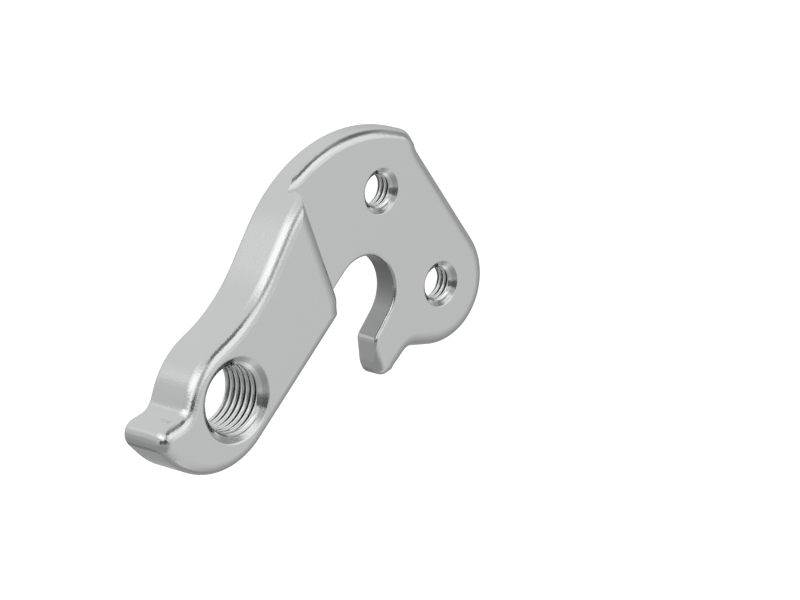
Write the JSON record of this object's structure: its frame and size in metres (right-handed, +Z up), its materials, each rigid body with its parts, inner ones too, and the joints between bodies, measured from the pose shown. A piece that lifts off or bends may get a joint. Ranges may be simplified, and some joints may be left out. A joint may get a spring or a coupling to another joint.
{
  "type": "bicycle derailleur hanger",
  "caption": "Flat aluminium hanger that bolts to a bicycle frame's dropout and carries the rear derailleur on a threaded boss.",
  "frame": {"origin": "on the axis of the derailleur's thread, in the plane of the seat face, which is the front of the thin plate", "axes": "+Z is up as pictured, +X points from the derailleur boss towards the lobe with the frame bolts, and -Y is outward, the side where the derailleur bolts on. On the bicycle the part is turned about Y until the axle slot opens downwards and the boss is below and behind the axle."},
  "size_m": [0.0609, 0.008, 0.0398],
  "materials": {
    "bead_blasted_aluminium": "bead blasted and clear anodised, satin"
  },
  "bodies": {
    "root": {"hanger": "bead_blasted_aluminium"}
  },
  "joints": []
}
